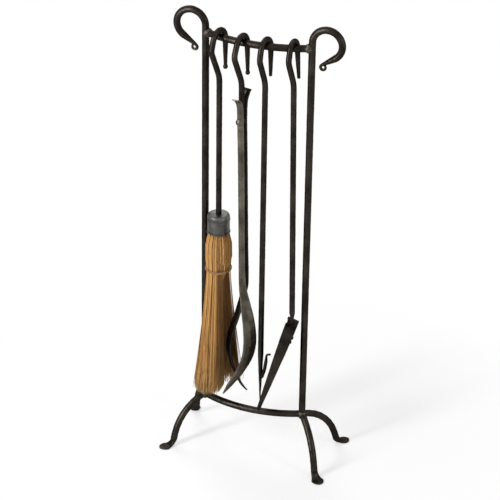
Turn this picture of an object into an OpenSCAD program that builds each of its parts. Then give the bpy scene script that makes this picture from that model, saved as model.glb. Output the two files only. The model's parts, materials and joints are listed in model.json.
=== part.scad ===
// Fireplace tool set: a four-legged iron stand with a bowed rail, and a broom, tongs,
// a poker and a shovel hung on the rail by the hooks of their handles.
// Millimetres. X runs along the rail, -Y is the front, Z is up. The floor is Z = 0 and
// the origin lies midway between the front and the back feet.

/* [Stand] */
// Diameter of the stand's round bar
bar_d = 12.7; // [11:0.1:13.5]
// Distance between the two uprights
upright_spacing = 192.3; // [188:0.5:200]
// Height of the rail's centre line
rail_h = 822.4; // [810:0.5:840]
// Height of the lower bar's centre line
lower_bar_h = 97.4; // [95:0.1:99]
// How far the rail and the lower bar bow out to the front
bow = 21.6; // [19:0.1:24]
// Radius of a crook's big bend
crook_r = 26.5; // [24:0.1:28]
// Length of the tapered stretch of a crook
crook_taper = 28; // [26:0.5:30]
// Diameter of the bar in the small curl that ends a crook
curl_d = 5.6; // [5:0.1:6.5]

/* [Feet] */
// Outward part of the way a leg takes from its upright
foot_out = 55; // [50:0.5:58]
// Forward part of the way a front leg takes
foot_front = 61; // [58:0.5:64]
// Backward part of the way a back leg takes
foot_back = 84; // [80:0.5:88]
// Width of a foot pad
pad_w = 24; // [20:0.5:26]
// Thickness of a foot pad
pad_t = 2.6; // [2.4:0.1:3]

/* [Tools] */
// Diameter of a tool's round rod
rod_d = 10.5; // [9.8:0.1:11]
// Distance the hook tips hang below the rail's centre line
hook_drop = 62; // [58:0.5:66]
// Gap between a resting hook and the rail
rest_gap = 0.3; // [0.2:0.05:0.5]

/* [Broom] */
// Place of the broom's rod along the rail
broom_x = -65; // [-66:0.5:-64]
// Diameter of the ferrule
ferrule_d = 40; // [38:0.5:42]
// Height of the ferrule
ferrule_h = 36; // [32:0.5:40]
// Height of the ferrule's top above the floor
ferrule_top = 487; // [480:1:495]
// Drop from the ferrule's top to the binding
binding_drop = 109; // [100:1:118]
// Height of the bristle tips above the floor
bristle_tip_h = 129; // [122:0.5:134]
// Radius of the bristle bundle at its tips
bristle_r = 47; // [43:0.5:48]
// Radius of the bristle bundle at its binding
waist_r = 22.5; // [21:0.5:24]

/* [Tongs] */
// Place of the tongs' rod along the rail
tongs_x = -20.3; // [-21:0.1:-19.5]
// Drop from the rail's centre line to the tongs' rivet
rivet_drop = 142.8; // [140:0.2:150]
// Diameter of the tongs' rivet
rivet_d = 6; // [5:0.1:7]
// Width of an arm near the rivet
arm_w = 12; // [11:0.5:13]
// Thickness of an arm near the rivet
arm_t = 5; // [4.5:0.1:5.5]
// Width of an arm's leaf
leaf_w = 26; // [23:0.5:27]

/* [Poker] */
// Place of the poker's rod along the rail
poker_x = 21.4; // [20.8:0.1:22]
// Height at which the poker starts to taper
poker_taper_h = 220; // [215:1:230]
// Height of the poker's point
poker_tip_h = 123; // [118:1:128]

/* [Shovel] */
// Place of the shovel's rod along the rail
shovel_x = 67.8; // [67:0.2:69]
// Width of the pan
pan_w = 100; // [96:0.5:104]
// Length of the pan
pan_len = 170; // [160:1:174]
// Height of the pan's rim at its back
pan_back_h = 22; // [18:0.5:24]
// Height of the pan's rim at its tip
pan_tip_h = 6.5; // [5:0.5:8]
// Thickness of the pan's sheet
sheet_t = 1.6; // [1.2:0.1:2]

/* [Hidden] */
$fn = 48;

iron = "#2a2622";
rivet_h = rail_h - rivet_drop;
bar_r = bar_d / 2;
rod_r = rod_d / 2;
half_span = upright_spacing / 2;
// The uprights stand forward of the origin by half of what the back feet reach further
stand_y = (foot_front - foot_back) / 2;
// Radius of the arc the rail and the lower bar follow
bow_r = (half_span * half_span + bow * bow) / (2 * bow);

// ---- Bent bars ----

// A bar is a list of stretches, each [length, turn, diameter at its end]. It starts at the
// origin along +Z, and each stretch carries on from the one before, turning toward +X
bar_sides = 16;
bend_step = 9;

function straight(len, d) = [len, 0, d];
function bend(radius, turn, d) = [PI * radius * abs(turn) / 180, turn, d];

// A station is [X, Z, heading from +Z toward +X, diameter], t of the way along a stretch
function onward(at, stretch, t) =
    let (
        turn = stretch[1],
        heading = at[2] + t * turn,
        d = at[3] + t * (stretch[2] - at[3]),
        r = turn == 0 ? 0 : stretch[0] * 180 / (PI * turn)
    )
    turn == 0
        ? [at[0] + t * stretch[0] * sin(heading), at[1] + t * stretch[0] * cos(heading), heading, d]
        : [at[0] + r * (cos(at[2]) - cos(heading)), at[1] + r * (sin(heading) - sin(at[2])), heading, d];

function stations(bar, at, i = 0) =
    i == len(bar) ? [at] :
    let (steps = max(1, ceil(abs(bar[i][1]) / bend_step)))
        concat(
            [for (k = [0 : steps - 1]) onward(at, bar[i], k / steps)],
            stations(bar, onward(at, bar[i], 1), i + 1)
        );

function bar_end(d, bar, at = undef, i = 0) =
    let (here = is_undef(at) ? [0, 0, 0, d] : at)
        i == len(bar) ? here : bar_end(d, bar, onward(here, bar[i], 1), i + 1);

function bar_ring(s) = [
    for (k = [0 : bar_sides - 1])
        let (a = 360 * k / bar_sides, u = s[3] / 2 * cos(a))
            [s[0] + u * cos(s[2]), -s[3] / 2 * sin(a), s[1] - u * sin(s[2])]
];

module bent_bar(d, bar) {
    loft([for (s = stations(bar, [0, 0, 0, d])) bar_ring(s)]);
}

// ---- Lofted shapes: sections joined along a path ----

// A closed skin through rings of equal point counts
module loft(rings) {
    n = len(rings[0]);
    m = len(rings);
    points = [for (ring = rings) each ring];
    sides = [
        for (i = [0 : m - 2]) for (j = [0 : n - 1])
            let (a = i * n + j, b = i * n + (j + 1) % n)
                each [[a, b, b + n], [a, b + n, a + n]]
    ];
    foot = [for (j = [1 : n - 2]) [0, j + 1, j]];
    head = [for (j = [1 : n - 2]) [(m - 1) * n, (m - 1) * n + j, (m - 1) * n + j + 1]];
    polyhedron(points = points, faces = concat(foot, sides, head));
}

// Smooth values through rows of numbers, t counted in rows
function blend_rows(rows, t) =
    let (
        last = len(rows) - 1,
        i = min(floor(t), last - 1),
        f = t - i,
        p0 = rows[max(i - 1, 0)],
        p1 = rows[i],
        p2 = rows[i + 1],
        p3 = rows[min(i + 2, last)]
    )
    p1 + f * (p2 - p0) / 2
        + f * f * (2 * p0 - 5 * p1 + 4 * p2 - p3) / 2
        + f * f * f * (3 * p1 - p0 - 3 * p2 + p3) / 2;

function unit(v) = v / norm(v);

// ---- Stand ----

function rail_y(x) = bow_r - bow - sqrt(bow_r * bow_r - x * x);

module in_frame() {
    translate([0, stand_y, 0]) children();
}

// A bar along the bow, from -end_x to end_x
module bowed_bar(h, end_x) {
    half_angle = asin(end_x / bow_r);
    translate([0, bow_r - bow, h]) rotate([0, 0, -90 - half_angle])
        rotate_extrude(angle = 2 * half_angle, $fn = 360)
            translate([bow_r, 0]) circle(d = bar_d);
}

// Radius of the weld at each upright's foot, and what shows of the upright below it
foot_hub_r = 8.7;
upright_stub = 0.3;
upright_foot = lower_bar_h - foot_hub_r - upright_stub;
// A crook: how far it starts above the rail, its big bend, and the small curl that ends it
crook_rise = 10.5;
crook_turn = 237;
curl_r = 4.6;
curl_turn = 272;
curl_end_d = 4.6;

module upright(side) {
    translate([side * half_span, 0, upright_foot])
        mirror([side > 0 ? 0 : 1, 0, 0])
            bent_bar(bar_d, [
                straight(rail_h + crook_rise - upright_foot, bar_d),
                bend(crook_r, crook_turn, bar_d),
                straight(crook_taper, curl_d),
                bend(curl_r, -curl_turn, curl_end_d),
            ]);
}

module left_upright() {
    color(iron) in_frame() upright(-1);
}

module right_upright() {
    color(iron) in_frame() upright(1);
}

module upright_bores() {
    for (side = [-1, 1])
        translate([side * half_span, 0, upright_foot]) cylinder(d = bar_d, h = rail_h);
}

module top_rail() {
    color(iron) in_frame() difference() {
        bowed_bar(rail_h, half_span - rail_hub_in);
        rail_hubs();
    }
}

module foot_hubs() {
    for (side = [-1, 1]) translate([side * half_span, 0, lower_bar_h]) sphere(r = foot_hub_r);
}

module lower_bar() {
    color(iron) in_frame() difference() {
        bowed_bar(lower_bar_h, half_span);
        foot_hubs();
    }
}

// The weld at each end of the rail sits a little in from the upright
rail_hub_r = 8.4;
rail_hub_in = 5;

module rail_hubs() {
    x = half_span - rail_hub_in;
    for (side = [-1, 1]) translate([side * x, rail_y(x), rail_h]) sphere(r = rail_hub_r);
}

module rail_welds() {
    color(iron) in_frame() difference() {
        rail_hubs();
        upright_bores();
    }
}

module foot_welds() {
    color(iron) in_frame() difference() {
        foot_hubs();
        upright_bores();
    }
}

// ---- Legs: an arc down from the upright's foot, a short straight and a flat pad ----

// Each kind of leg: slope at its root, slope at its foot, straight stretch above the flare
FRONT_LEG = [22, 77, 12];
BACK_LEG = [12, 71, 18];
leg_flare_r = 16;
pad_len = 14;
// What is dressed off the underside of each pad to make it flat
sole_cut = 0.3;

function leg_kind(depth) = depth < 0 ? FRONT_LEG : BACK_LEG;

// Radius of a leg's main arc, from the drop that is left for it
function leg_arc_r(kind) =
    (lower_bar_h + sole_cut - pad_t / 2 - kind[2] * sin(kind[1]) - leg_flare_r * (1 - cos(kind[1])))
    / (cos(kind[0]) - cos(kind[1]));

// Stations along a leg: place out and up from its hub, downward slope, width and thickness
function leg_stations(kind) =
    let (
        root = kind[0],
        steep = kind[1],
        r = leg_arc_r(kind),
        x1 = r * (sin(steep) - sin(root)) + kind[2] * cos(steep),
        z2 = pad_t / 2 - sole_cut - lower_bar_h,
        z1 = z2 + leg_flare_r * (1 - cos(steep)),
        x2 = x1 + leg_flare_r * sin(steep),
        arc_steps = 7,
        flare_steps = 9
    )
    concat(
        [
            for (i = [0 : arc_steps])
                let (a = root + (steep - root) * i / arc_steps)
                    [r * (sin(a) - sin(root)), r * (cos(a) - cos(root)), a, bar_d, bar_d]
        ],
        [
            for (i = [0 : flare_steps])
                let (s = i / flare_steps, a = steep * (1 - s))
                    [
                        x1 + leg_flare_r * (sin(steep) - sin(a)),
                        z1 - leg_flare_r * (cos(a) - cos(steep)),
                        a,
                        bar_d + (pad_w - bar_d) * s * s,
                        bar_d + (pad_t - bar_d) * sin(90 * s),
                    ]
        ],
        [
            for (i = [1 : 6])
                let (a = 15 * i)
                    [x2 + pad_len * sin(a), z2, 0, pad_w * max(cos(a), 0.15), pad_t]
        ]
    );

module leg(side, depth) {
    kind = leg_kind(depth);
    color(iron) in_frame() difference() {
        translate([side * half_span, 0, lower_bar_h])
            rotate([0, 0, atan2(depth, side * foot_out)])
                loft([for (s = leg_stations(kind)) leg_ring(s)]);
        foot_hubs();
        upright_bores();
        below_floor();
    }
}

module below_floor() {
    wide = 4 * upright_spacing;
    translate([-wide / 2, -wide / 2, -lower_bar_h]) cube([wide, wide, lower_bar_h]);
}

function leg_ring(s) =
    let (sides = 18, square = 1 - 0.45 * (bar_d - s[4]) / (bar_d - pad_t))
    [
        for (k = [0 : sides - 1])
            let (
                a = 360 * k / sides,
                u = s[3] / 2 * sin(a),
                v = s[4] / 2 * sign(cos(a)) * pow(abs(cos(a)), square)
            )
                [s[0] + v * sin(s[2]), u, s[1] + v * cos(s[2])]
    ];

module front_left_leg() {
    leg(-1, -foot_front);
}

module back_left_leg() {
    leg(-1, foot_back);
}

module front_right_leg() {
    leg(1, -foot_front);
}

module back_right_leg() {
    leg(1, foot_back);
}

// ---- Hooked rods ----

// Each tool: place along the rail, turn of the hook, arch radius, outward slope of the
// arch's front leg, reach of the belly in front of the rod, arch centre in front of the
// rod, rod in front of the rail, inward slope of the back leg, diameter of the tip's bulb.
// The back legs splay a little outward, so that the rail can pass between tip and rod
BROOM = [broom_x, 9, 21, 20, 26.5, 2, 1.8, -1, 9];
TONGS = [tongs_x, 8, 19, 25, 26, 1.5, 3, -3, 8.6];
POKER = [poker_x, 4, 21, 12, 23.4, 0.6, 1, -1, 0];
SHOVEL = [shovel_x, 2, 17, 20, 23.5, 2.5, 0, -8, 6.6];

belly_r = 16;
s_bend_r = 45;
s_bend = 27;
tip_d = 6;

function rod_y(tool) = rail_y(tool[0]) - tool[6];

// Height of the rail's centre line above the arch's centre
function arch_drop(tool) =
    let (room = tool[2] - bar_r - rod_r - rest_gap, off = tool[5] + tool[6])
        sqrt(room * room - off * off);

// Straight stretch between the arch and the belly
function arch_leg(tool) =
    (tool[4] - tool[5] - tool[2] * cos(tool[3]) - belly_r * (1 - cos(tool[3]))) / sin(tool[3]);

// Straight stretch between the belly and the bend into the rod
inward_slack = (belly_r + s_bend_r) * (1 - cos(s_bend));
function inward_leg(tool) = (tool[4] - inward_slack) / sin(s_bend);

// Height of the top of the straight rod against the rail's centre line
function rod_head(tool) =
    tool[2] * sin(tool[3]) - arch_drop(tool) - arch_leg(tool) * cos(tool[3])
        - belly_r * (sin(tool[3]) + sin(s_bend)) - inward_leg(tool) * cos(s_bend)
        - s_bend_r * sin(s_bend);

// The hook, from the top of the straight rod: +X is the front
function hook(tool) =
    let (
        out = tool[3],
        drop = hook_drop - arch_drop(tool) - tool[2] * sin(tool[7])
    )
    [
        bend(s_bend_r, s_bend, rod_d),
        straight(inward_leg(tool), rod_d),
        bend(belly_r, -s_bend - out, rod_d),
        straight(arch_leg(tool), rod_d),
        bend(tool[2], out - 180 - tool[7], rod_d),
        straight(drop / cos(tool[7]), tip_d),
    ];

// A rod of a given length below its head, with the hook on it. It can end in a taper
module hooked_rod(tool, length, taper = 0, foot_d = rod_d) {
    point = taper > 0 ? [straight(taper, rod_d)] : [];
    bar = concat(point, [straight(length, rod_d)], hook(tool));
    tip = bar_end(foot_d, bar);
    translate([0, 0, rod_head(tool) - length - taper]) {
        bent_bar(foot_d, bar);
        if (tool[8] > 0)
            translate([tip[0] - sin(tip[2]), 0, tip[1] - cos(tip[2])]) sphere(d = tool[8]);
    }
}

// Sets a tool in the stand; local +X is the front, Z = 0 is the rail's centre line
module hung(tool) {
    in_frame() translate([tool[0], rod_y(tool), rail_h]) rotate([0, 0, -90 - tool[1]]) children();
}

// Length of straight rod from its head down to a height above the floor
function rod_len(tool, h) = rail_h - h + rod_head(tool);

// ---- Broom ----

ferrule_wall = 1.6;
plug_h = 12;
roof_rise = 5;
binding_h = ferrule_top - binding_drop;

module broom_handle() {
    color(iron) hung(BROOM) hooked_rod(BROOM, rod_len(BROOM, bristle_top()));
}

module broom_at(h) {
    in_frame() translate([BROOM[0], rod_y(BROOM), h]) children();
}

module broom_ferrule() {
    r = ferrule_d / 2;
    rim = 1;
    ring = 0.8;
    color("#6a6a6c") broom_at(ferrule_top) difference() {
        rotate_extrude($fn = 96) union() {
            translate([0, -ferrule_h]) square([r, ferrule_h - roof_rise]);
            translate([0, -roof_rise - 0.5]) square([r - roof_rise, roof_rise + 0.5]);
            translate([r - roof_rise, -roof_rise]) circle(r = roof_rise);
            translate([0, -ferrule_h]) square([r + rim, 2.5]);
            translate([0, -roof_rise - 6]) square([r + ring, 1.5]);
        }
        translate([0, 0, -ferrule_h - 1])
            cylinder(r = r - ferrule_wall, h = ferrule_h - roof_rise - ferrule_wall + 1, $fn = 96);
        translate([0, 0, -ferrule_h]) cylinder(d = rod_d, h = ferrule_h + 1);
    }
}

module broom_plug() {
    top = ferrule_top - roof_rise - ferrule_wall;
    color("#8a6b45") broom_at(top - plug_h) difference() {
        cylinder(r = ferrule_d / 2 - ferrule_wall, h = plug_h, $fn = 96);
        translate([0, 0, -1]) cylinder(d = rod_d, h = plug_h + 2);
    }
}

function bristle_top() = ferrule_top - roof_rise - ferrule_wall - plug_h;

// Radius of the bundle at a height: a bulge under the ferrule, a bound waist, a flare
function bundle_r(h) =
    let (
        mouth = ferrule_top - ferrule_h,
        neck_r = ferrule_d / 2 - ferrule_wall,
        bulge_r = 26,
        bulge_h = (mouth + binding_h) / 2
    )
    h >= mouth ? neck_r :
    h >= bulge_h ? bulge_r + (neck_r - bulge_r) * (1 - cos(90 * (h - bulge_h) / (mouth - bulge_h))) :
    h >= binding_h ? waist_r + (bulge_r - waist_r) * (1 - cos(180 * (h - binding_h) / (bulge_h - binding_h))) / 2 :
    waist_r + (bristle_r - waist_r) * pow((binding_h - h) / (binding_h - bristle_tip_h), 1.25);

// The bristles' channels: how far below the binding they start, the room kept round the
// left upright, and the room kept beside and behind the tongs' rivet and back arm
notch_drop = 9;
upright_room = 0.9;
tongs_side_room = 34.2;
tongs_back_room = 12.18;

module bristle_notches() {
    beyond = 2 * bristle_r;
    foot = bristle_tip_h - 1;
    rise = binding_h - notch_drop - foot;
    // The bristles part in front of the left upright
    in_frame() translate([-half_span - beyond, -bar_r - upright_room, foot])
        cube([beyond + bar_r + upright_room, beyond, rise]);
    // They part behind the tongs' leaves
    in_frame() translate([tongs_x - tongs_side_room, back_arm_y + tongs_back_room - beyond, foot])
        cube([beyond, beyond, rise]);
}

module broom_bristles() {
    mouth = ferrule_top - ferrule_h;
    heights = concat(
        [for (h = [bristle_tip_h : 20 : binding_h - 30]) h],
        [for (h = [binding_h - 24 : 12 : mouth - 2]) h],
        [mouth, bristle_top()]
    );
    side = [for (h = heights) [bundle_r(h), h]];
    color("#a9773a") difference() {
        broom_at(0) rotate_extrude($fn = 64)
            polygon(concat([[0, bristle_tip_h]], side, [[0, bristle_top()]]));
        bristle_notches();
        binding();
    }
}

// Two turns of twine round the waist
twine_d = 2.2;

module binding() {
    broom_at(binding_h) for (i = [-0.5, 0.5])
        translate([0, 0, i * (twine_d + 0.1)])
            rotate_extrude($fn = 96) translate([waist_r + 0.6, 0]) circle(d = twine_d, $fn = 16);
}

module broom_binding() {
    color("#5b452c") binding();
}

// ---- Tongs ----

eye_w = 11;
eye_d = 14;
arm_gap = 0.1;
rivet_run = 0.05;
head_d = 13.5;
head_h = 3.2;
tongs_y = rod_y(TONGS);
front_arm_y = tongs_y - eye_w / 2 - arm_gap - arm_t / 2;
back_arm_y = tongs_y + eye_w / 2 + arm_t / 2;

module along_y(x, h) {
    in_frame() translate([x, tongs_y, h]) rotate([90, 0, 0]) children();
}

module tongs_eye() {
    translate([0, 0, -eye_w / 2]) cylinder(d = eye_d, h = eye_w);
}

module rivet_bore(r) {
    translate([0, 0, -40]) cylinder(r = r, h = 80);
}

module tongs_handle() {
    color(iron) difference() {
        union() {
            hung(TONGS) hooked_rod(TONGS, rod_len(TONGS, rivet_h));
            along_y(tongs_x, rivet_h) tongs_eye();
        }
        along_y(tongs_x, rivet_h) rivet_bore(rivet_d / 2);
    }
}

module tongs_rivet() {
    front = eye_w / 2 + arm_t + 2 * arm_gap;
    back = eye_w / 2 + arm_t;
    color(iron) along_y(tongs_x, rivet_h) {
        translate([0, 0, -back]) cylinder(d = rivet_d, h = front + back);
        translate([0, 0, front]) rivet_head(head_d, head_h);
        translate([0, 0, -back]) mirror([0, 0, 1]) rivet_head(head_d, head_h);
    }
}

// A low domed head on the plane Z = 0
module rivet_head(d, h) {
    ball_r = (d * d / 4 + h * h) / (2 * h);
    intersection() {
        translate([0, 0, h - ball_r]) sphere(r = ball_r);
        cylinder(d = d + 1, h = h + 1);
    }
}

// Height at which an arm's straight shank gives way to its leaf
leaf_top_h = 366;

// Height a share of the way up the shank, from the leaf to the rivet
function shank_h(share) = leaf_top_h + share * (rivet_h - leaf_top_h);

// An arm's stations, top to tip: place [X from the rivet, Y out from the arm's plane, Z],
// width, thickness and turn of the leaf
FRONT_ARM = [
    [-2.7, -17, rivet_h + 48, 14, 2.4, 0],
    [-0.7, -8, rivet_h + 42, 13, 3.4, 0],
    [0.8, -1.5, rivet_h + 29, arm_w, arm_t, 0],
    [1.5, 0, rivet_h, arm_w, arm_t, 0],
    [3.3, 0, shank_h(0.78), arm_w, arm_t, 0],
    [5, 0, shank_h(0.49), arm_w, arm_t, 0],
    [6.5, 0, shank_h(0.2), arm_w, arm_t, 0],
    [8.7, -1, leaf_top_h, 13, arm_t, 8],
    [16.3, -4, 326, 18.5, 6, 30],
    [23.3, -6, 293, 23.5, 6.5, 45],
    [26.8, -6.5, 255, leaf_w, 6.5, 47],
    [22.3, -6, 220, 24, 6.5, 47],
    [7.3, -5, 184, 20, 6.2, 47],
    [-10.7, -4, 153, 14, 5, 47],
    [-25.4, -4, 128, 3, 2.5, 47],
];
BACK_ARM = [
    [3.8, 12, rivet_h + 53, 16, 2.4, 0],
    [2.8, 7, rivet_h + 46, 13.5, 3.4, 0],
    [1.8, 1.5, rivet_h + 31, arm_w, arm_t, 0],
    [1.8, 0, rivet_h, arm_w, arm_t, 0],
    [3.3, 0, shank_h(0.78), arm_w, arm_t, 0],
    [5, 0, shank_h(0.49), arm_w, arm_t, 0],
    [6.9, 0, shank_h(0.2), arm_w, arm_t, 0],
    [8.5, 0, leaf_top_h, arm_w, arm_t, 0],
    [6.3, 0, 344, 12.5, 5.2, -14],
    [0.3, 0, 318, 15, 5.6, -34],
    [-8.7, 0, 283, 21, 5.8, -50],
    [-19.7, 0, 245, leaf_w - 1, 5.8, -54],
    [-22.5, 0, 210, leaf_w - 1, 5.8, -54],
    [-13.7, 0, 178, 21, 5.6, -54],
    [0.3, 0, 148, 14, 5, -50],
    [14.3, 0, 133, 3, 2.5, -47],
];

module arm(rows, plane_y) {
    parts = 4;
    last = len(rows) - 1;
    stations = [for (i = [0 : last * parts]) blend_rows(rows, i / parts)];
    n = len(stations);
    rings = [
        for (i = [0 : n - 1])
            let (
                s = stations[i],
                before = stations[max(i - 1, 0)],
                after = stations[min(i + 1, n - 1)],
                along = unit([after[0] - before[0], after[1] - before[1], after[2] - before[2]])
            )
                arm_ring(s, along, plane_y)
    ];
    in_frame() loft(rings);
}

// A flat section with rounded edges, thickest along its middle
function arm_ring(s, along, plane_y) =
    let (
        wide = unit([cos(s[5]), sin(s[5]), 0] - ([cos(s[5]), sin(s[5]), 0] * along) * along),
        thick = cross(along, wide),
        centre = [tongs_x + s[0], plane_y + s[1], s[2]]
    )
    [
        for (p = [[-1, 0.3], [-0.8, 0.7], [0, 1], [0.8, 0.7], [1, 0.3],
                  [1, -0.3], [0.8, -0.7], [0, -1], [-0.8, -0.7], [-1, -0.3]])
            centre + wide * p[0] * s[3] / 2 + thick * p[1] * s[4] / 2
    ];

module tongs_front_arm() {
    color("#4a4438") difference() {
        arm(FRONT_ARM, front_arm_y);
        along_y(tongs_x, rivet_h) rivet_bore(rivet_d / 2 + rivet_run);
    }
}

module tongs_back_arm() {
    color(iron) difference() {
        arm(BACK_ARM, back_arm_y);
        along_y(tongs_x, rivet_h) rivet_bore(rivet_d / 2);
    }
}

// ---- Poker ----

poker_point_d = 2.4;
poker_taper = poker_taper_h - poker_tip_h;

module poker_shaft() {
    color(iron) hung(POKER)
        hooked_rod(POKER, rod_len(POKER, poker_taper_h), poker_taper, poker_point_d);
}

module poker_cut() {
    in_frame() translate([POKER[0], rod_y(POKER), poker_tip_h])
        cylinder(d1 = poker_point_d, d2 = rod_d, h = poker_taper);
}

// The barb leaves the taper leaning, straightens a little and ends in a small curl
barb_root_h = poker_tip_h + 44;
barb_lean = 20;
barb_d = 6.5;
barb_tip_d = 4.2;
barb_r = 118;
barb_turn = 16;
barb_curl_r = 5.5;
barb_curl_turn = 115;
barb_root_len = 7.3;
barb_neck_len = 12;

module poker_barb() {
    color(iron) difference() {
        in_frame() translate([POKER[0] + 1, rod_y(POKER), barb_root_h]) rotate([0, barb_lean, 0])
            bent_bar(poker_point_d, [
                straight(barb_root_len, barb_d),
                bend(barb_r, -barb_turn, barb_d),
                straight(barb_neck_len, barb_tip_d),
                bend(barb_curl_r, barb_curl_turn, barb_tip_d),
            ]);
        poker_cut();
    }
}

// ---- Shovel ----

pan_turn = 8.7;
pan_tilt = 19.7;
pan_corner_r = pan_w / 2 - 1;
pan_heel = [86.8, -9.3, 288.8];
strap_t = 3;
strap_w = 14;
// Where the rod ends, against the heel of the pan: up along the pan and out of it
rod_end = [17.5, 17.8];
rivet_at = [30, 40];
shovel_rivet_d = 4.5;
shovel_head_d = 8;
shovel_head_h = 2.8;
// The strap lies on the pan's floor
strap_z = sheet_t + strap_t / 2;
notch_room = 0.6;

// Pan frame: local +X across, local +Y from the tip to the heel, local +Z out of the pan
module at_pan() {
    in_frame() translate(pan_heel) rotate([0, 0, -90 + pan_turn])
        rotate([90 - pan_tilt, 0, 0]) children();
}

function pan_point(y, z) =
    let (level = [cos(pan_turn), sin(pan_turn), 0])
        pan_heel + y * (sin(pan_tilt) * level + [0, 0, cos(pan_tilt)])
            + z * ([0, 0, sin(pan_tilt)] - cos(pan_tilt) * level);

module pan_outline(w, len, r) {
    translate([-w / 2, -len]) square([w, len - r]);
    translate([-w / 2 + r, -len]) square([w - 2 * r, len]);
    for (side = [-1, 1]) translate([side * (w / 2 - r), -r]) circle(r = r, $fn = 96);
}

module pan_rivet_shanks() {
    for (y = rivet_at)
        translate([0, -y, 0]) cylinder(d = shovel_rivet_d, h = sheet_t + strap_t);
}

module shovel_pan() {
    rim_slope = atan((pan_back_h - pan_tip_h) / pan_len);
    notch_w = STRAP[3][2] + 2 * notch_room;
    notch_z = STRAP[3][1] - STRAP[3][3] / 2 - notch_room;
    color(iron) at_pan() difference() {
        linear_extrude(pan_back_h) pan_outline(pan_w, pan_len, pan_corner_r);
        translate([0, -sheet_t, sheet_t]) linear_extrude(pan_back_h)
            pan_outline(pan_w - 2 * sheet_t, pan_len, pan_corner_r - sheet_t);
        translate([-pan_w, 0, pan_back_h]) rotate([rim_slope, 0, 0])
            translate([0, -2 * pan_len, 0]) cube([2 * pan_w, 3 * pan_len, pan_back_h]);
        translate([-notch_w / 2, -2 * sheet_t, notch_z]) cube([notch_w, 3 * sheet_t, pan_back_h]);
        pan_rivet_shanks();
    }
}

// The strap forged from the rod's end: place [Y, Z] in the pan frame, width, thickness
STRAP = [
    [rod_end[0] + 4, rod_end[1] + 1.4, rod_d - 0.6, rod_d - 0.6],
    [rod_end[0], rod_end[1], rod_d - 0.6, rod_d - 0.6],
    [9, 14.4, 11, 6],
    [0, 11, 12, 4.5],
    [-12, 6.4, 13, 3.4],
    [-19, 4, strap_w, strap_t],
    [-25, strap_z, strap_w, strap_t],
    [-34, strap_z, strap_w, strap_t],
    [-44, strap_z, strap_w, strap_t],
    [-48, strap_z, strap_w * 0.8, strap_t],
    [-50, strap_z, strap_w * 0.35, strap_t],
];

// A rounded section of the strap, square to its path
function strap_ring(i) =
    let (
        s = STRAP[i],
        before = STRAP[max(i - 1, 0)],
        after = STRAP[min(i + 1, len(STRAP) - 1)],
        along = unit([0, after[0] - before[0], after[1] - before[1]]),
        up = s[1] == strap_z ? [0, 0, 1] : cross(along, [1, 0, 0]),
        square = s[3] > 7 ? 1 : 0.4,
        sides = 16
    )
    [
        for (k = [0 : sides - 1])
            let (a = 360 * (k + 0.5) / sides, c = cos(a))
                [0, s[0], s[1]] + [s[2] / 2 * sin(a), 0, 0]
                    + up * (s[3] / 2 * sign(c) * pow(abs(c), square))
    ];

// The shovel hangs with its rod leaning a little to the right on its way down
rod_foot = pan_point(rod_end[0], rod_end[1]);
shovel_lean = atan2(rod_foot[0] - shovel_x, rail_h - rod_foot[2]);

module shovel_handle() {
    reach = (rail_h - rod_foot[2]) / cos(shovel_lean);
    color(iron) difference() {
        union() {
            in_frame() translate([shovel_x, rod_y(SHOVEL), rail_h])
                rotate([0, -shovel_lean, 0]) rotate([0, 0, -90 - SHOVEL[1]])
                    hooked_rod(SHOVEL, reach + rod_head(SHOVEL));
            at_pan() loft([for (i = [0 : len(STRAP) - 1]) strap_ring(i)]);
        }
        at_pan() pan_rivet_shanks();
    }
}

module shovel_rivets() {
    color(iron) at_pan() {
        pan_rivet_shanks();
        for (y = rivet_at) {
            translate([0, -y, 0]) mirror([0, 0, 1]) rivet_head(shovel_head_d, shovel_head_h);
            translate([0, -y, sheet_t + strap_t]) rivet_head(shovel_head_d, 1.2);
        }
    }
}

left_upright();
right_upright();
top_rail();
lower_bar();
front_left_leg();
back_left_leg();
front_right_leg();
back_right_leg();
rail_welds();
foot_welds();
broom_handle();
broom_ferrule();
broom_plug();
broom_bristles();
broom_binding();
tongs_handle();
tongs_front_arm();
tongs_back_arm();
tongs_rivet();
poker_shaft();
poker_barb();
shovel_handle();
shovel_pan();
shovel_rivets();
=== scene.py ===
import json
import math

import bmesh
import bpy
import numpy as np
from mathutils import Matrix, Vector, noise


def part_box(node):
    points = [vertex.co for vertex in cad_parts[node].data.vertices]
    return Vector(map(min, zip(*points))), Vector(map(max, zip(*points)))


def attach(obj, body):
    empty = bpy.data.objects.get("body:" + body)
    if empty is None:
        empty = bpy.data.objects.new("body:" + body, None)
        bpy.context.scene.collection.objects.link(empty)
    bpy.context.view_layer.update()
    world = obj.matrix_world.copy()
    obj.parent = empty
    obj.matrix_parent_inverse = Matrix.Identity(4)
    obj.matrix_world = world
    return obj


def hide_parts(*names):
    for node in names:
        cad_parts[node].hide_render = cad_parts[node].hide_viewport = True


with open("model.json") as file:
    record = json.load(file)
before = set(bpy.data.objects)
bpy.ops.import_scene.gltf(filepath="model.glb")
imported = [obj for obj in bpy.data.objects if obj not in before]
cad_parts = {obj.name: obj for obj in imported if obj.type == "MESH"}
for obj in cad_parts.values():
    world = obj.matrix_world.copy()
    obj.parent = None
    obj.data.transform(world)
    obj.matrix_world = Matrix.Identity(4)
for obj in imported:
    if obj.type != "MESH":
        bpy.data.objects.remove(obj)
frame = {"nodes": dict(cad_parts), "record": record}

# A set of fireplace tools in forged iron: a stand with four hooked tools hung on its rail. The
# bars, blades and welds are forged over from the frame's solids, and the broom's straw, its
# twine and the hidden core of the bundle are made here. Lengths are in metres. The ones that
# forge takes, the ones whose names end in _mm, and the lens and its sensor are in millimetres.

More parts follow.
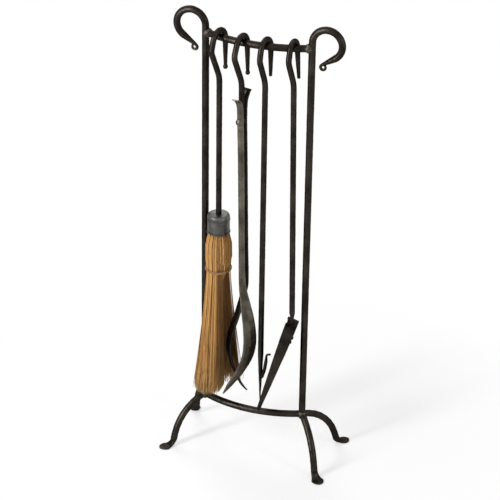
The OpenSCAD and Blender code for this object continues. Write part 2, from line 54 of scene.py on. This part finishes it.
MM = 0.001
FULL_TURN = 2 * math.pi
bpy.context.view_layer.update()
NODES = frame["nodes"]
BODY_OF = {
    node: body
    for body, nodes in frame["record"]["behaviour"]["bodies"].items()
    for node in nodes
}

# Each finish's shades, in the order in which it blends them
IRON_HOLLOWS, IRON_RUBBED = (0.011, 0.0095, 0.008), (0.066, 0.054, 0.042)
# The blade pair is the iron's pair made lighter: painted light on the lit front arm of the tongs and its
# rivet, over their wear
BLADE_PAINTED_LIT_HOLLOWS, BLADE_PAINTED_LIT_RUBBED = (0.045, 0.04, 0.032), (0.22, 0.195, 0.15)
WELD_HOLLOWS, WELD_RUBBED = (0.025, 0.022, 0.018), (0.11, 0.10, 0.08)
PEWTER_DARK, PEWTER_BRIGHT = (0.055, 0.053, 0.05), (0.135, 0.13, 0.12)
TWINE_DARK, TWINE_BRIGHT = (0.16, 0.075, 0.03), (0.36, 0.2, 0.08)
WOOD_DARK, WOOD_BRIGHT = (0.30, 0.18, 0.09), (0.5, 0.34, 0.19)
STRAW_RUSSET, STRAW_GOLD, STRAW_TIP = (0.09, 0.036, 0.012), (0.43, 0.222, 0.06), (0.42, 0.26, 0.10)
CORE_RUSSET, CORE_GOLD, CORE_TIP = (0.11, 0.045, 0.015), (0.46, 0.23, 0.06), (0.26, 0.14, 0.05)
IRON_TINT, WELD_TINT = (0.30, 0.27, 0.24, 1), (0.4, 0.38, 0.34, 1)
WHITE = (1, 1, 1, 1)
FLOOR_WHITE = (0.86, 0.86, 0.86, 1)

# Where Blender's Mix node has its sockets for colour
MIX_AMOUNT, MIX_FIRST, MIX_SECOND, MIX_RESULT = 0, 6, 7, 2

# The rays that show a surface, or the world, rather than light something else
SHOWING_RAYS = ("Camera", "Glossy", "Transmission")


# ---- Mixing finishes ----

class Value:
    """A number that varies over a surface. Sums on it add the maths nodes that work it out."""

    def __init__(self, paint, socket):
        self.paint = paint
        self.socket = socket

    def sum(self, operation, other):
        return self.paint.node("ShaderNodeMath", {"operation": operation}, [self, other])

    def __add__(self, other):
        return self.sum("ADD", other)

    def __sub__(self, other):
        return self.sum("SUBTRACT", other)

    def __rsub__(self, other):
        return self.paint.node("ShaderNodeMath", {"operation": "SUBTRACT"}, [other, self])

    def __mul__(self, other):
        return self.sum("MULTIPLY", other)

    __radd__ = __add__
    __rmul__ = __mul__

    def spread(self, low, high, to_low=0.0, to_high=1.0):
        """Stretches low..high to a new range and holds it there."""
        return self.paint.node("ShaderNodeMapRange", {"clamp": True}, [self, low, high, to_low, to_high])


class Paint:
    """A finish in the making: a material, its shader and the nodes that feed them."""

    def __init__(self, name):
        self.material = bpy.data.materials.new(name)
        self.material.use_nodes = True
        self.tree = self.material.node_tree
        self.shader = self.tree.nodes["Principled BSDF"]
        self.out = self.tree.nodes["Material Output"]

    def set(self, socket, value):
        if isinstance(value, Value):
            self.tree.links.new(value.socket, socket)
        else:
            socket.default_value = value

    def node(self, kind, settings=None, sockets=(), output=0):
        """Adds a node: its settings first, then its sockets by order or by name."""
        made = self.tree.nodes.new(kind)
        for key, value in (settings or {}).items():
            setattr(made, key, value)
        if isinstance(sockets, dict):
            for key, value in sockets.items():
                self.set(made.inputs[key], value)
        else:
            for number, value in enumerate(sockets):
                self.set(made.inputs[number], value)
        return Value(self, made.outputs[output])

    def place(self, stretch=(1, 1, 1)):
        """The point on the object, in metres, stretched along its axes."""
        point = self.node("ShaderNodeTexCoord", output="Object")
        return self.node("ShaderNodeVectorMath", {"operation": "MULTIPLY"}, [point, stretch])

    def clouds(self, scale, detail=3.0, rough=0.55, stretch=(1, 1, 1)):
        return self.node(
            "ShaderNodeTexNoise", None,
            {"Vector": self.place(stretch), "Scale": scale, "Detail": detail, "Roughness": rough},
        )

    def dents(self, scale, stretch=(1, 1, 1)):
        return self.node(
            "ShaderNodeTexVoronoi", {"feature": "SMOOTH_F1"},
            {"Vector": self.place(stretch), "Scale": scale, "Smoothness": 0.6},
        )

    def blend(self, amount, first, second):
        """From the first colour to the second as amount goes from 0 to 1."""
        mixer = self.tree.nodes.new("ShaderNodeMix")
        mixer.data_type = "RGBA"
        self.set(mixer.inputs[MIX_AMOUNT], amount)
        self.set(mixer.inputs[MIX_FIRST], first if isinstance(first, Value) else (*first, 1))
        self.set(mixer.inputs[MIX_SECOND], second if isinstance(second, Value) else (*second, 1))
        return Value(self, mixer.outputs[MIX_RESULT])

    def emboss(self, height, distance, strength):
        return self.node(
            "ShaderNodeBump", None,
            {"Strength": strength, "Distance": distance, "Height": height},
        )

    def finish(self, **sockets):
        """Sets the shader's sockets, named with underscores for spaces."""
        for key, value in sockets.items():
            self.set(self.shader.inputs[key.replace("_", " ")], value)
        return self.material


def iron_finish(name, hollows, rubbed, wear, rough=0.29):
    """Blackened iron under wax: near black in the hollows, brown where hands have rubbed it. Given the
    blade's lighter colours, it also paints light onto a lit face, over the wear.
    """
    paint = Paint(name)
    patches = paint.clouds(scale=34, detail=4).spread(0.36, 0.68)
    specks = paint.clouds(scale=420, rough=0.6).spread(0.5, 0.78)
    edges = paint.node("ShaderNodeNewGeometry", output="Pointiness").spread(0.505, 0.56)
    worn = (patches * 0.4 + specks * 0.25 + edges * wear).spread(0.0, 1.0)
    forge_scale = paint.clouds(scale=900, detail=2, rough=0.5)
    relief = paint.dents(scale=150, stretch=(1, 1, 0.7)) * 0.7 + forge_scale * 0.3
    return paint.finish(
        Base_Color=paint.blend(worn, hollows, rubbed),
        Metallic=0.85,
        Roughness=rough + patches * 0.08 - worn * 0.1 + forge_scale * 0.06,
        Specular_Tint=IRON_TINT,
        Normal=paint.emboss(relief, distance=0.4 * MM, strength=0.55),
    )


def weld_finish():
    """Weld beads, rougher than the bars and with a little more of the metal showing."""
    paint = Paint("weld_beads")
    mottle = paint.clouds(scale=260, detail=4, rough=0.65).spread(0.38, 0.66)
    return paint.finish(
        Base_Color=paint.blend(mottle, WELD_HOLLOWS, WELD_RUBBED),
        Metallic=0.8,
        Roughness=0.34 + mottle * 0.2,
        Specular_Tint=WELD_TINT,
        Normal=paint.emboss(paint.clouds(scale=420), distance=0.8 * MM, strength=0.8),
    )


def ferrule_finish():
    """Dark pewter, brushed round the ferrule."""
    paint = Paint("brushed_pewter")
    brushing = paint.clouds(scale=14, detail=5, rough=0.7, stretch=(1, 1, 130))
    smears = paint.clouds(scale=45)
    return paint.finish(
        Base_Color=paint.blend(smears.spread(0.3, 0.7), PEWTER_DARK, PEWTER_BRIGHT),
        Metallic=1.0,
        Roughness=0.36 + brushing * 0.14 + smears * 0.05,
        Normal=paint.emboss(brushing, distance=0.2 * MM, strength=0.5),
    )


def straw_finish(name, russet, gold, tip):
    """Dried straw: every stalk its own shade from russet to gold, and another one at its tip."""
    paint = Paint(name)
    shade = paint.node("ShaderNodeAttribute", {"attribute_name": "shade"}, output="Fac")
    age = paint.node("ShaderNodeAttribute", {"attribute_name": "age"}, output="Fac")
    streak = paint.clouds(scale=60, detail=4, rough=0.6, stretch=(12, 12, 1)).spread(0.32, 0.7)
    body = paint.blend((shade * 0.75 + streak * 0.35).spread(0, 1), russet, gold)
    ribs = paint.clouds(scale=150, rough=0.6, stretch=(8, 8, 1))
    return paint.finish(
        Base_Color=paint.blend(age, body, tip),
        Roughness=0.58 + streak * 0.15,
        Specular_IOR_Level=0.35,
        Normal=paint.emboss(ribs, distance=0.3 * MM, strength=0.5),
    )


def twine_finish():
    paint = Paint("twine")
    fibres = paint.clouds(scale=900, detail=4, rough=0.7)
    return paint.finish(
        Base_Color=paint.blend(fibres.spread(0.3, 0.7), TWINE_DARK, TWINE_BRIGHT),
        Roughness=0.7 + fibres * 0.1,
        Normal=paint.emboss(fibres, distance=0.3 * MM, strength=0.6),
    )


def wood_finish():
    paint = Paint("turned_wood")
    grain = paint.clouds(scale=40, detail=5, rough=0.6, stretch=(10, 1, 1))
    return paint.finish(
        Base_Color=paint.blend(grain.spread(0.3, 0.7), WOOD_DARK, WOOD_BRIGHT),
        Roughness=0.55 + grain * 0.1,
        Normal=paint.emboss(grain, distance=0.4 * MM, strength=0.5),
    )


# ---- Forging: a solid of the frame, rounded over and worked with the hammer ----

def forge(node, material, grain, smooth, dent, size, seed):
    """Remakes a node with softened edges and hammered faces.

    The mesh's grain and the dents' depth and size are in millimetres.
    """
    same_point = 0.002 * MM
    source = NODES[node]
    cleaned = bmesh.new()
    cleaned.from_mesh(source.data)
    bmesh.ops.remove_doubles(cleaned, verts=cleaned.verts, dist=same_point)
    mesh = bpy.data.meshes.new(f"forged_{node}")
    cleaned.to_mesh(mesh)
    cleaned.free()
    piece = bpy.data.objects.new(f"forged_{node}", mesh)
    bpy.context.collection.objects.link(piece)
    remesh = piece.modifiers.new("grain", "REMESH")
    remesh.mode = "VOXEL"
    remesh.voxel_size = grain * MM
    ease = piece.modifiers.new("ease", "SMOOTH")
    ease.factor = 0.5
    ease.iterations = smooth
    settle(piece)
    hammer(piece.data, dent * MM, size * MM, seed)
    dress(piece, material)
    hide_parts(node)
    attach(piece, BODY_OF[node])


def settle(piece):
    """Turns a piece's modifiers into its mesh."""
    graph = bpy.context.evaluated_depsgraph_get()
    done = bpy.data.meshes.new_from_object(piece.evaluated_get(graph))
    piece.modifiers.clear()
    piece.data = done


def hammer(mesh, depth, size, seed):
    """Sinks shallow dents into a mesh, of about the given size and depth, and finer ones in them."""
    finer = 2.6
    fainter = 0.45
    count = len(mesh.vertices)
    points = np.empty(count * 3)
    normals = np.empty(count * 3)
    mesh.vertices.foreach_get("co", points)
    mesh.vertices.foreach_get("normal", normals)
    points = points.reshape(-1, 3)
    normals = normals.reshape(-1, 3)
    shift = Vector((seed, seed * 0.7, -seed))
    rise = np.array([
        noise.noise(Vector(p) / size + shift) + fainter * noise.noise(Vector(p) * finer / size - shift)
        for p in points
    ])
    points += normals * (rise * depth)[:, None]
    mesh.vertices.foreach_set("co", points.ravel())
    mesh.update()


def dress(piece, material):
    """Gives a piece one smooth-shaded finish."""
    piece.data.materials.clear()
    piece.data.materials.append(material)
    piece.data.polygons.foreach_set("use_smooth", [True] * len(piece.data.polygons))


def coat(node, material):
    """Puts a finish on a node of the frame that keeps its own shape."""
    for slot in NODES[node].material_slots:
        slot.material = material


# ---- The broom's bundle of straw ----

def round_angles(count):
    """Directions spaced evenly over a full turn."""
    return np.arange(count) * FULL_TURN / count


def ring_quads(rings):
    """Faces that join each ring of points to the next, from arrays of rings by points."""
    here, after = rings[..., :-1, :], rings[..., 1:, :]
    corners = [here, np.roll(here, -1, axis=-1), np.roll(after, -1, axis=-1), after]
    return np.stack(corners, axis=-1).reshape(-1, 4).tolist()


def tubes(name, paths, radii, sides, shades, ages):
    """One mesh of many round stalks. Paths are stalks by stations by 3, radii stalks by stations."""
    # Each ring's first point lies square to its stalk and to this nearly level direction
    level_way = np.array([0.31, 0.95, 0.05])
    stalks, stations, _ = paths.shape
    along = np.gradient(paths, axis=1)
    along /= np.linalg.norm(along, axis=2, keepdims=True)
    side = np.cross(along, level_way)
    side /= np.linalg.norm(side, axis=2, keepdims=True)
    other = np.cross(along, side)
    angles = round_angles(sides)
    ring = (
        side[:, :, None] * np.cos(angles)[None, None, :, None]
        + other[:, :, None] * np.sin(angles)[None, None, :, None]
    )
    points = (paths[:, :, None] + ring * radii[:, :, None, None]).reshape(-1, 3)
    rings = np.arange(stalks * stations * sides).reshape(stalks, stations, sides)
    caps = np.concatenate([rings[:, 0, ::-1], rings[:, -1]]).tolist()
    mesh = bpy.data.meshes.new(name)
    mesh.from_pydata(points.tolist(), [], ring_quads(rings) + caps)
    for key, values in (("shade", shades), ("age", ages)):
        layer = mesh.attributes.new(key, "FLOAT", "POINT")
        layer.data.foreach_set("value", np.repeat(values.reshape(-1), sides))
    piece = bpy.data.objects.new(name, mesh)
    bpy.context.collection.objects.link(piece)
    return piece


class Bundle:
    """The broom head's sizes, measured on the frame's solids, and the ironwork round it."""

    def __init__(self):
        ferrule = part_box("broom_ferrule")
        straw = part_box("broom_bristles")
        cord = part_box("broom_binding")
        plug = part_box("broom_plug")
        self.axis = Vector(((ferrule[0].x + ferrule[1].x) / 2, (ferrule[0].y + ferrule[1].y) / 2, 0))
        self.mouth = ferrule[0].z
        self.neck = (plug[1].x - plug[0].x) / 2
        self.tip = straw[0].z
        self.flare = self.axis.x - straw[0].x
        self.tie = (cord[0].z + cord[1].z) / 2
        # The twine lies on the waist, and the straw swells above it
        twine_depth = 1.8 * MM
        swelling = 3.5 * MM
        self.waist = (cord[1].x - cord[0].x) / 2 - twine_depth
        self.bulge = self.waist + swelling
        # The stand's left upright needs the room to the left of post_x and behind post_y
        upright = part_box("left_upright")
        bar_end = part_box("lower_bar")[0].x
        bar_end_to_side = 4.2 * MM
        front_room = 1.0 * MM
        self.post_x = bar_end + bar_end_to_side
        self.post_y = upright[0].y - front_room
        # The tongs' blades need the room to the right of blade_x and in front of blade_y
        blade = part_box("tongs_back_arm")
        side_room = 3.0 * MM
        overlap_behind = 0.5 * MM
        self.blade_x = blade[0].x - side_room
        self.blade_y = blade[1].y - overlap_behind
        # Above this height the straw is tied too tight to part
        tied_length = 9 * MM
        self.part_top = self.tie - tied_length

    def radius(self, h):
        """Outer radius of the straw at a height."""
        past_tip = 1.2
        flare_curve = 1.25
        swell = (self.mouth + self.tie) / 2
        to_mouth = np.clip((h - swell) / (self.mouth - swell), 0, 1)
        to_swell = np.clip((h - self.tie) / (swell - self.tie), 0, 1)
        to_tip = np.clip((self.tie - h) / (self.tie - self.tip), 0, past_tip)
        upper = self.bulge + (self.neck - self.bulge) * (1 - np.cos(math.pi / 2 * to_mouth))
        lower = self.waist + (self.bulge - self.waist) * (1 - np.cos(math.pi * to_swell)) / 2
        skirt = self.waist + (self.flare - self.waist) * to_tip ** flare_curve
        return np.where(h >= swell, upper, np.where(h >= self.tie, lower, skirt))

    def blocked(self, x, y, z):
        """Where the stand's left upright and the tongs' blades need room."""
        behind = (x < self.post_x) & (y > self.post_y)
        beside = (x > self.blade_x) & (y < self.blade_y)
        return (z < self.part_top) & (behind | beside)

    def place(self, r, turn, z):
        """Points from their distance and direction from the broom's axis, and their height."""
        return self.axis.x + r * np.cos(turn), self.axis.y + r * np.sin(turn), z

    def hold_in(self, r, turn, z):
        """The share of its radius that each path keeps to clear the ironwork, 1 for all of it."""
        held = np.ones(len(r))
        for share in (0.9, 0.8, 0.7, 0.6, 0.5, 0.4, 0.3, 0.2, 0.1):
            hit = self.blocked(*self.place(self.drawn(r, held, z), turn, z)).any(axis=1)
            held = np.where(hit, share, held)
        return held

    def drawn(self, r, held, z):
        """Radii drawn in to the share held, gradually from the binding to where the straw parts."""
        ease = np.clip((self.tie - z) / (self.tie - self.part_top), 0, 1)
        return r * (1 - (1 - held[:, None]) * ease)


def straw(bundle, material):
    """The visible stalks, in loose clumps that open towards their tips."""
    draw = np.random.default_rng(7)
    stalks, stations, clumps = 4600, 13, 125
    way = np.linspace(0, 1, stations)[None, :]

    # Round the bundle a stalk stands near its clump, and most of the stalks are in the outer skin
    stray_angle = 0.035
    clump_tip_mm = 4.6
    outer_share = 0.72
    outer_from = 0.9
    clump = draw.integers(0, clumps, stalks)
    clump_angle = draw.uniform(0, FULL_TURN, clumps)[clump]
    clump_tip = draw.normal(0, clump_tip_mm, clumps)[clump] * MM
    angle = clump_angle + draw.normal(0, stray_angle, stalks)
    outer = draw.random(stalks) < outer_share
    outer_reach = draw.uniform(outer_from, 1.0, stalks)
    inner_reach = np.sqrt(draw.uniform(0.1, 0.85, stalks))
    reach = np.where(outer, outer_reach, inner_reach)

    # The tips are ragged, and none reaches below the lowest point of the frame's straw
    cut = 3 * MM
    least_cut = 0.3 * MM
    ragged_mm = 5.5
    outer_ragged_mm = 5
    inside_ferrule = 4 * MM
    tip = bundle.tip + cut + clump_tip + np.abs(draw.normal(0, ragged_mm, stalks)) * MM
    tip += np.where(reach > outer_from, draw.uniform(0, outer_ragged_mm, stalks), 0) * MM
    tip = np.maximum(tip, bundle.tip + least_cut)
    top = bundle.mouth + inside_ferrule
    z = top + (tip[:, None] - top) * way
    fall = np.clip((bundle.tie - z) / (bundle.tie - bundle.tip), 0, 1)

    # Below the binding a stalk turns towards the middle of its clump, and sways
    pull = 0.32
    slowing = 0.45
    gathering = 1.6
    sway_angle = 0.05
    sway_wave = 2.2
    gather = pull * fall * (1 - slowing * fall)
    swing = (angle[:, None] - clump_angle[:, None]) * (1 - gather * gathering)
    sway_size = draw.normal(0, sway_angle, stalks)[:, None]
    sway_phase = draw.uniform(0, 6, stalks)[:, None]
    sway = sway_size * np.sin(fall * sway_wave + sway_phase)
    turn = clump_angle[:, None] + swing + sway * fall * 2

    # In the skin the dark clumps and some strays lie back, and all are held in by the ironwork
    wander = 0.035
    inset = 0.7 * MM
    stray_mm = 4
    dark_inset_mm = 3.2
    skin_from = 0.88
    tone_mean = 0.54
    tone_spread = 0.42
    in_skin = reach[:, None] > skin_from
    spread = reach[:, None] + draw.normal(0, wander, stalks)[:, None] * fall ** 1.5
    r = bundle.radius(z) * spread - inset
    r = r - (draw.random(stalks)[:, None] ** 3) * stray_mm * MM * fall * in_skin
    clump_tone = draw.normal(tone_mean, tone_spread, clumps)[clump]
    r = r - np.clip(1 - clump_tone, 0, 1)[:, None] * dark_inset_mm * MM * in_skin
    r = bundle.drawn(r, bundle.hold_in(r, turn, z), z)
    points = np.stack(bundle.place(r, turn, z), axis=-1)

    # Stalks taper over their lower part, and each has its own thickness, shade and tip
    taper = 0.55
    taper_from = 0.55
    taper_length = 0.45
    tip_from = 0.86
    tip_length = 0.14
    thinnest_mm = 0.45
    thickest_mm = 0.8
    stalk_tone_spread = 0.14
    thick = draw.uniform(thinnest_mm, thickest_mm, stalks)[:, None] * MM
    radii = thick * (1 - taper * np.clip((way - taper_from) / taper_length, 0, 1) ** 1.5)
    tone = np.clip(clump_tone + draw.normal(0, stalk_tone_spread, stalks), 0, 1)
    shades = np.repeat(tone[:, None], stations, axis=1)
    tip_shade = 0.25 + 0.6 * draw.random(stalks)[:, None] ** 2
    ages = np.clip((way - tip_from) / tip_length, 0, 1) * tip_shade
    piece = tubes("broom_straw", points, radii, sides=3, shades=shades, ages=ages)
    dress(piece, material)
    return piece


def straw_core(bundle, material):
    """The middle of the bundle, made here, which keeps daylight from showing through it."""
    levels, sides = 26, 40
    above_tip = 22 * MM
    inside_ferrule = 2 * MM
    full = 0.9
    thinning = 0.42
    ribs = 9
    rib_depth = 0.03
    low = bundle.tip + above_tip
    heights = np.linspace(low, bundle.mouth + inside_ferrule, levels)
    fill = full - thinning * np.clip((bundle.tie - heights) / (bundle.tie - low), 0, 1) ** 0.8
    angles = round_angles(sides)
    r = (bundle.radius(heights) * fill)[:, None] * (1 + rib_depth * np.sin(angles * ribs))[None, :]
    columns = r.T
    turns = np.broadcast_to(angles[:, None], columns.shape)
    levels_at = np.broadcast_to(heights[None, :], columns.shape)

    # It is held in as if it were wider, and further still, so that it stays behind the stalks
    as_if_wider = 0.9
    further_in = 0.85
    held = bundle.hold_in(columns / as_if_wider, turns, levels_at) * further_in
    held = np.minimum(held, np.minimum(np.roll(held, 1), np.roll(held, -1)))
    held = (np.roll(held, 1) + 2 * held + np.roll(held, -1)) / 4
    columns = bundle.drawn(columns, held, levels_at)
    points = np.stack(bundle.place(columns, turns, levels_at), axis=-1).transpose(1, 0, 2)
    rings = np.arange(levels * sides).reshape(levels, sides)
    mesh = bpy.data.meshes.new("straw_core")
    mesh.from_pydata(
        points.reshape(-1, 3).tolist(), [],
        ring_quads(rings) + [rings[0, ::-1].tolist(), rings[-1].tolist()],
    )
    piece = bpy.data.objects.new("straw_core", mesh)
    bpy.context.collection.objects.link(piece)
    dress(piece, material)
    return piece


def twine(bundle, material):
    """Two turns of two-ply twine drawn tight round the waist."""
    plies, turns, lays, steps = 2, 2, 26, 300
    ply_r = 0.52 * MM
    pressed_together = 1.12
    off_waist = 0.8 * MM
    turns_apart = 2.1
    slant = 0.6 * MM
    around = np.linspace(0, 1, steps) * FULL_TURN
    paths = []
    for turn in range(turns):
        for ply in range(plies):
            twist = around * lays + ply * math.pi
            r = bundle.waist + off_waist + ply_r * np.cos(twist)
            lift = (turn - (turns - 1) / 2) * turns_apart * MM + ply_r * np.sin(twist)
            paths.append(np.stack(
                bundle.place(r, around, bundle.tie + lift + slant * np.sin(around)), axis=-1
            ))
    paths = np.array(paths)
    flat = np.zeros(paths.shape[:2])
    piece = tubes("broom_twine", paths, flat + ply_r * pressed_together, sides=8, shades=flat, ages=flat)
    dress(piece, material)
    return piece


def dress_broom():
    bundle = Bundle()
    stalk_finish = straw_finish("broom_straw", STRAW_RUSSET, STRAW_GOLD, STRAW_TIP)
    core_finish = straw_finish("straw_core", CORE_RUSSET, CORE_GOLD, CORE_TIP)
    stalks = straw(bundle, stalk_finish)
    core = straw_core(bundle, core_finish)
    cord = twine(bundle, twine_finish())
    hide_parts("broom_bristles")
    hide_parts("broom_binding")
    for piece, slot in ((stalks, "bristle"), (core, "bristle"), (cord, "twine")):
        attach(piece, BODY_OF["broom_bristles"])
    coat("broom_ferrule", ferrule_finish())
    coat("broom_plug", wood_finish())


# ---- The ironwork ----

def dress_iron():
    iron = iron_finish("blackened_iron", IRON_HOLLOWS, IRON_RUBBED, wear=0.4)
    # A lighter copy of the iron: painted light for the lit front arm of the tongs and its rivet, with
    # wear on their edges
    blade = iron_finish("blade_wear_and_painted_light", BLADE_PAINTED_LIT_HOLLOWS, BLADE_PAINTED_LIT_RUBBED, wear=0.6, rough=0.33)
    beads = weld_finish()
    for number, upright in enumerate(("left_upright", "right_upright")):
        forge(upright, iron, grain=1.0, smooth=5, dent=0.16, size=10, seed=number * 3.1)
    for number, bar in enumerate(("top_rail", "lower_bar")):
        forge(bar, iron, grain=1.0, smooth=4, dent=0.2, size=9, seed=7 + number)
    for number, corner in enumerate(("front_left", "back_left", "front_right", "back_right")):
        forge(f"{corner}_leg", iron, grain=0.8, smooth=4, dent=0.22, size=8, seed=11 + number)
    for number, rod in enumerate(("broom_handle", "tongs_handle", "poker_shaft", "shovel_handle")):
        forge(rod, iron, grain=0.9, smooth=5, dent=0.14, size=8, seed=17 + number)
    forge("poker_barb", iron, grain=0.5, smooth=4, dent=0.12, size=5, seed=23)
    # The front arm and the rivet take the lighter copy, which is painted light; the back arm keeps the
    # plain iron
    forge("tongs_front_arm", blade, grain=0.8, smooth=4, dent=0.2, size=7, seed=29)
    forge("tongs_back_arm", iron, grain=0.8, smooth=4, dent=0.2, size=7, seed=31)
    forge("tongs_rivet", blade, grain=0.5, smooth=5, dent=0.2, size=4, seed=37)
    forge("shovel_pan", iron, grain=0.7, smooth=3, dent=0.16, size=12, seed=41)
    forge("shovel_rivets", iron, grain=0.4, smooth=3, dent=0.1, size=3, seed=43)
    for number, welds in enumerate(("rail_welds", "foot_welds")):
        forge(welds, beads, grain=0.5, smooth=4, dent=0.55, size=4.5, seed=47 + number)


# ---- Camera, floor and lamps ----

def set_camera():
    """Looks down on the stand from its right, through a long lens."""
    azimuth, pitch, roll = (math.radians(degrees) for degrees in (20.61, 28.46, 0.79))
    target = Vector((-10.16, -11.5, 417.4)) * MM
    distance = 3.73
    lens = 150.84
    sensor = 36
    farthest = 50
    away = Vector((
        math.sin(azimuth) * math.cos(pitch), -math.cos(azimuth) * math.cos(pitch), math.sin(pitch)
    ))
    right = Vector((math.cos(azimuth), math.sin(azimuth), 0))
    up = away.cross(right)
    across = right * math.cos(roll) + up * math.sin(roll)
    upward = up * math.cos(roll) - right * math.sin(roll)
    camera = bpy.data.objects.new("camera", bpy.data.cameras.new("camera"))
    camera.data.sensor_width = sensor
    camera.data.lens = lens
    camera.data.clip_end = farthest
    turn = Matrix((across, upward, away)).transposed().to_4x4()
    camera.matrix_world = Matrix.Translation(target + away * distance) @ turn
    bpy.context.collection.objects.link(camera)
    bpy.context.scene.camera = camera
    bpy.context.scene.view_settings.view_transform = "Standard"


def floor_finish():
    """Pale floor that keeps a soft shadow near the stand and goes over to white further out."""
    white_near = 0.55
    white_gained = 0.45
    fade_from = 0.3
    fade_to = 0.62
    paint = Paint("pale_floor")
    paint.finish(Base_Color=FLOOR_WHITE, Roughness=0.9, Specular_IOR_Level=0.1)
    camera, glossy, through = (
        paint.node("ShaderNodeLightPath", output=f"Is {ray} Ray") for ray in SHOWING_RAYS
    )
    seen = (camera + glossy + through).spread(0, 1)
    far = paint.node("ShaderNodeVectorMath", {"operation": "LENGTH"}, [paint.place()], output=1)
    white = paint.node("ShaderNodeEmission", None, {"Color": WHITE, "Strength": 1.0})
    amount = seen * (white_near + far.spread(fade_from, fade_to) * white_gained)
    mixer = paint.node("ShaderNodeMixShader", None, [amount])
    paint.tree.links.new(paint.shader.outputs[0], mixer.socket.node.inputs[1])
    paint.tree.links.new(white.socket, mixer.socket.node.inputs[2])
    paint.tree.links.new(mixer.socket, paint.out.inputs["Surface"])
    return paint.material


def lay_floor():
    half_width = 6
    squares = 8
    below_soles = 0.5 * MM
    sheet = bmesh.new()
    bmesh.ops.create_grid(sheet, x_segments=squares, y_segments=squares, size=half_width)
    mesh = bpy.data.meshes.new("floor")
    sheet.to_mesh(mesh)
    sheet.free()
    floor = bpy.data.objects.new("floor", mesh)
    floor.location.z = -below_soles
    bpy.context.collection.objects.link(floor)
    mesh.materials.append(floor_finish())


def light_world():
    """White where the world is seen, and half as strong where it only lights the tools."""
    lighting = 0.5
    showing = 1.0
    world = bpy.data.worlds.new("studio")
    world.use_nodes = True
    tree = world.node_tree
    back = tree.nodes["Background"]
    back.inputs["Color"].default_value = WHITE
    path = tree.nodes.new("ShaderNodeLightPath")
    seen, *others = (path.outputs[f"Is {ray} Ray"] for ray in SHOWING_RAYS)
    for other in others:
        either = tree.nodes.new("ShaderNodeMath")
        either.operation = "MAXIMUM"
        tree.links.new(seen, either.inputs[0])
        tree.links.new(other, either.inputs[1])
        seen = either.outputs[0]
    level = tree.nodes.new("ShaderNodeMapRange")
    level.inputs["To Min"].default_value = lighting
    level.inputs["To Max"].default_value = showing
    tree.links.new(seen, level.inputs["Value"])
    tree.links.new(level.outputs[0], back.inputs["Strength"])
    bpy.context.scene.world = world


def softbox(name, place, aim, width, height, watts):
    lamp = bpy.data.objects.new(name, bpy.data.lights.new(name, "AREA"))
    lamp.data.shape = "RECTANGLE"
    lamp.data.size = width
    lamp.data.size_y = height
    lamp.data.energy = watts
    lamp.location = place
    lamp.rotation_euler = (Vector(aim) - Vector(place)).to_track_quat("-Z", "Y").to_euler()
    bpy.context.collection.objects.link(lamp)


def light_studio():
    middle = (0, 0, 0.45)
    softbox("key", (-1.35, -2.1, 1.3), middle, width=0.42, height=2.4, watts=80)
    softbox("side", (2.3, -0.7, 1.0), middle, width=0.4, height=2.0, watts=14)
    softbox("back", (-1.3, 1.5, 2.3), middle, width=1.6, height=1.6, watts=30)
    light_world()


set_camera()
lay_floor()
light_studio()
dress_iron()
dress_broom()
